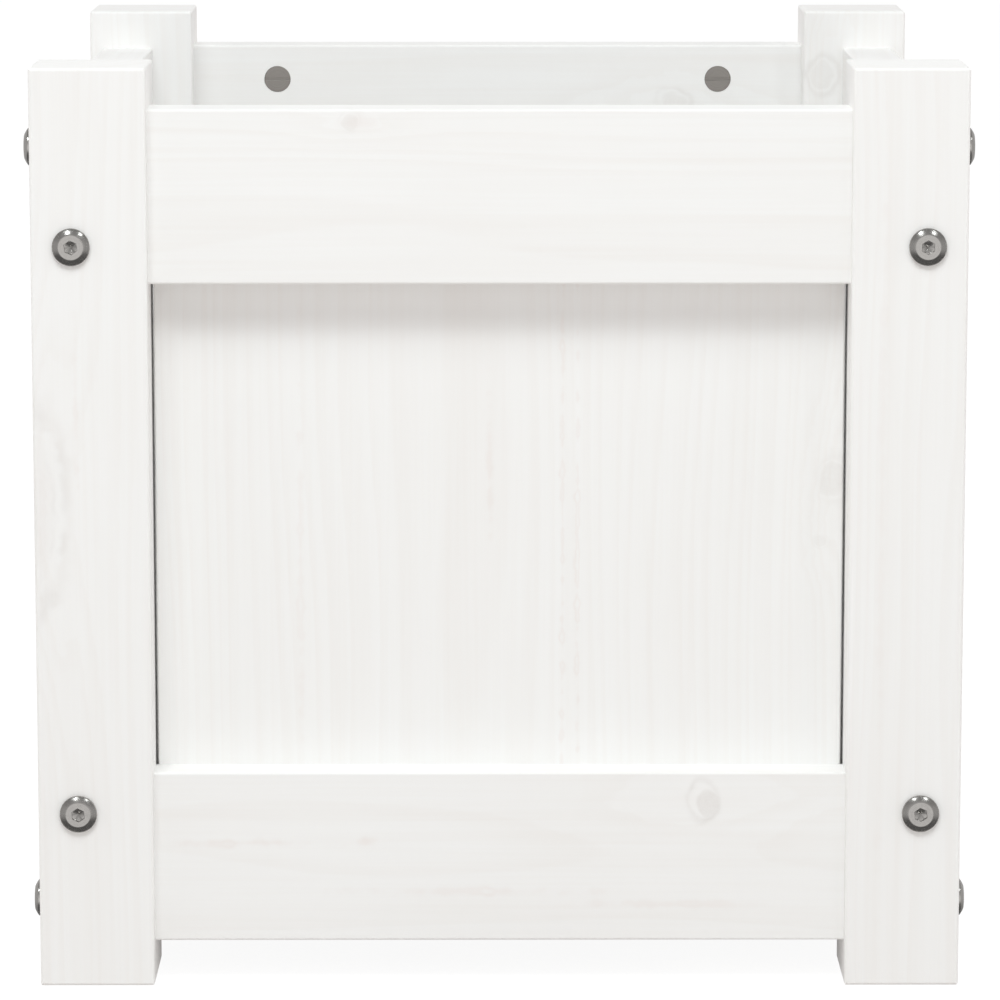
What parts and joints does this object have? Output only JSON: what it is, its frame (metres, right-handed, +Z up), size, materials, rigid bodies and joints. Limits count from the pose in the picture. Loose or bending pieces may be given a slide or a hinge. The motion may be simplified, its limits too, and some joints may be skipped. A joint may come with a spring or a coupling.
{
  "type": "planter box",
  "caption": "Square white wooden planter box on corner posts, with railed panel sides bolted together and a slatted draining floor.",
  "frame": {"origin": "on the ground, under the middle of the planter", "axes": "+Z up, +X to the right seen from the front, the front faces -Y"},
  "size_m": [0.315, 0.315, 0.31],
  "materials": {
    "post_pine": "white opaque stain on planed pine, matt",
    "rail_pine": "white opaque stain on planed pine, matt",
    "panel_pine": "white opaque stain on planed pine, matt",
    "floor_pine": "white opaque stain on sawn pine, matt",
    "bolt_steel": "zinc plated, semi-bright",
    "nut_steel": "zinc plated, dull",
    "screw_steel": "zinc plated",
    "dowel_beech": "plain beech"
  },
  "bodies": {
    "root": {"post_front_left": "post_pine", "post_front_right": "post_pine", "post_back_left": "post_pine", "post_back_right": "post_pine", "top_rail_front": "rail_pine", "top_rail_back": "rail_pine", "top_rail_left": "rail_pine", "top_rail_right": "rail_pine", "bottom_rail_front": "rail_pine", "bottom_rail_back": "rail_pine", "bottom_rail_left": "rail_pine", "bottom_rail_right": "rail_pine", "panel_front": "panel_pine", "panel_back": "panel_pine", "panel_left": "panel_pine", "panel_right": "panel_pine", "floor_batten_front": "floor_pine", "floor_batten_back": "floor_pine", "floor_slat_left": "floor_pine", "floor_slat_mid_left": "floor_pine", "floor_slat_mid_right": "floor_pine", "floor_slat_right": "floor_pine", "bolts_front_rails": "bolt_steel", "bolts_back_rails": "bolt_steel", "bolts_left_rails": "bolt_steel", "bolts_right_rails": "bolt_steel", "nuts_front_rails": "nut_steel", "nuts_back_rails": "nut_steel", "nuts_left_rails": "nut_steel", "nuts_right_rails": "nut_steel", "dowels_front_rails": "dowel_beech", "dowels_back_rails": "dowel_beech", "dowels_left_rails": "dowel_beech", "dowels_right_rails": "dowel_beech", "pins_panel_front": "screw_steel", "pins_panel_back": "screw_steel", "pins_panel_left": "screw_steel", "pins_panel_right": "screw_steel", "batten_screws": "screw_steel", "slat_screws": "screw_steel"}
  },
  "joints": []
}
